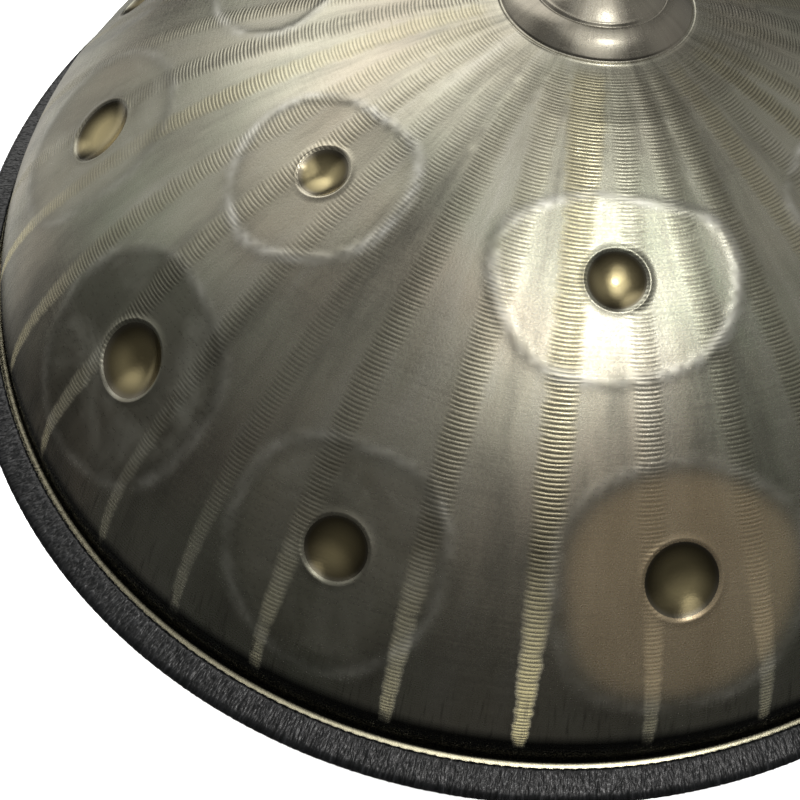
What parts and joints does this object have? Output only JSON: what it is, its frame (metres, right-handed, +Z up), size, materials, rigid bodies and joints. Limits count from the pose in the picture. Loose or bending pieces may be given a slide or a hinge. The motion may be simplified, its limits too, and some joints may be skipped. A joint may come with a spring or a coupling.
{
  "type": "handpan",
  "caption": "Steel handpan: domed shell with dimpled note fields around a raised centre note, glued to a ported lower bowl under a black edge trim.",
  "frame": {"origin": "bottom centre, on the instrument's axis at the flat ring it rests on", "axes": "+Z up through the centre note, -Y towards the player, +X to the player's right"},
  "size_m": [0.5599, 0.56, 0.2476],
  "materials": {
    "playing_steel": "heat-coloured, polished in radial bands",
    "bowl_steel": "heat-coloured, satin",
    "adhesive": "cured glue",
    "trim": "leather-grained",
    "clip_steel": "bare strip"
  },
  "bodies": {
    "root": {"top_shell": "playing_steel", "bottom_shell": "bowl_steel", "flange_adhesive": "adhesive", "edge_trim": "trim", "trim_clips": "clip_steel"}
  },
  "joints": []
}
